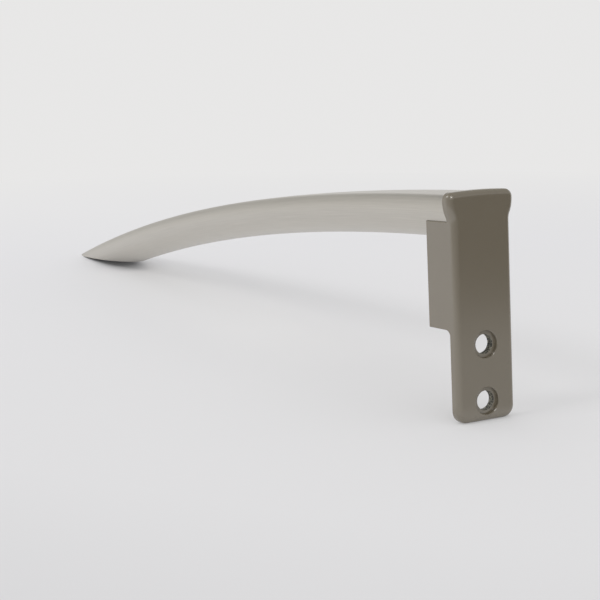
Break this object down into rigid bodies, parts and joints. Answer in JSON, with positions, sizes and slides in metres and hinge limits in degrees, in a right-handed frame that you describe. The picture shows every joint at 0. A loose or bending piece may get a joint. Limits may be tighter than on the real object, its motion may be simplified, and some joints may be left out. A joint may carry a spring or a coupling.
{
  "type": "freezer door handle",
  "caption": "Bowed brushed bar that runs down to a point on the door, held at its other end by a painted bracket that screws over the door's edge.",
  "frame": {"origin": "midway between the two screw holes, on the tongue's seating face", "axes": "+X out of the door's edge, along the screws; the bar runs towards -X; +Z away from the front of the door; symmetric about Y = 0"},
  "size_m": [0.4, 0.0274, 0.0809],
  "materials": {
    "brushed_aluminium": "brushed along the bar, clear anodised",
    "taupe_paint": "smooth semi-gloss paint",
    "plated_steel": "bright zinc plate"
  },
  "bodies": {
    "root": {"handle_bar": "brushed_aluminium", "end_bracket": "taupe_paint", "bar_screw": "plated_steel"}
  },
  "joints": []
}
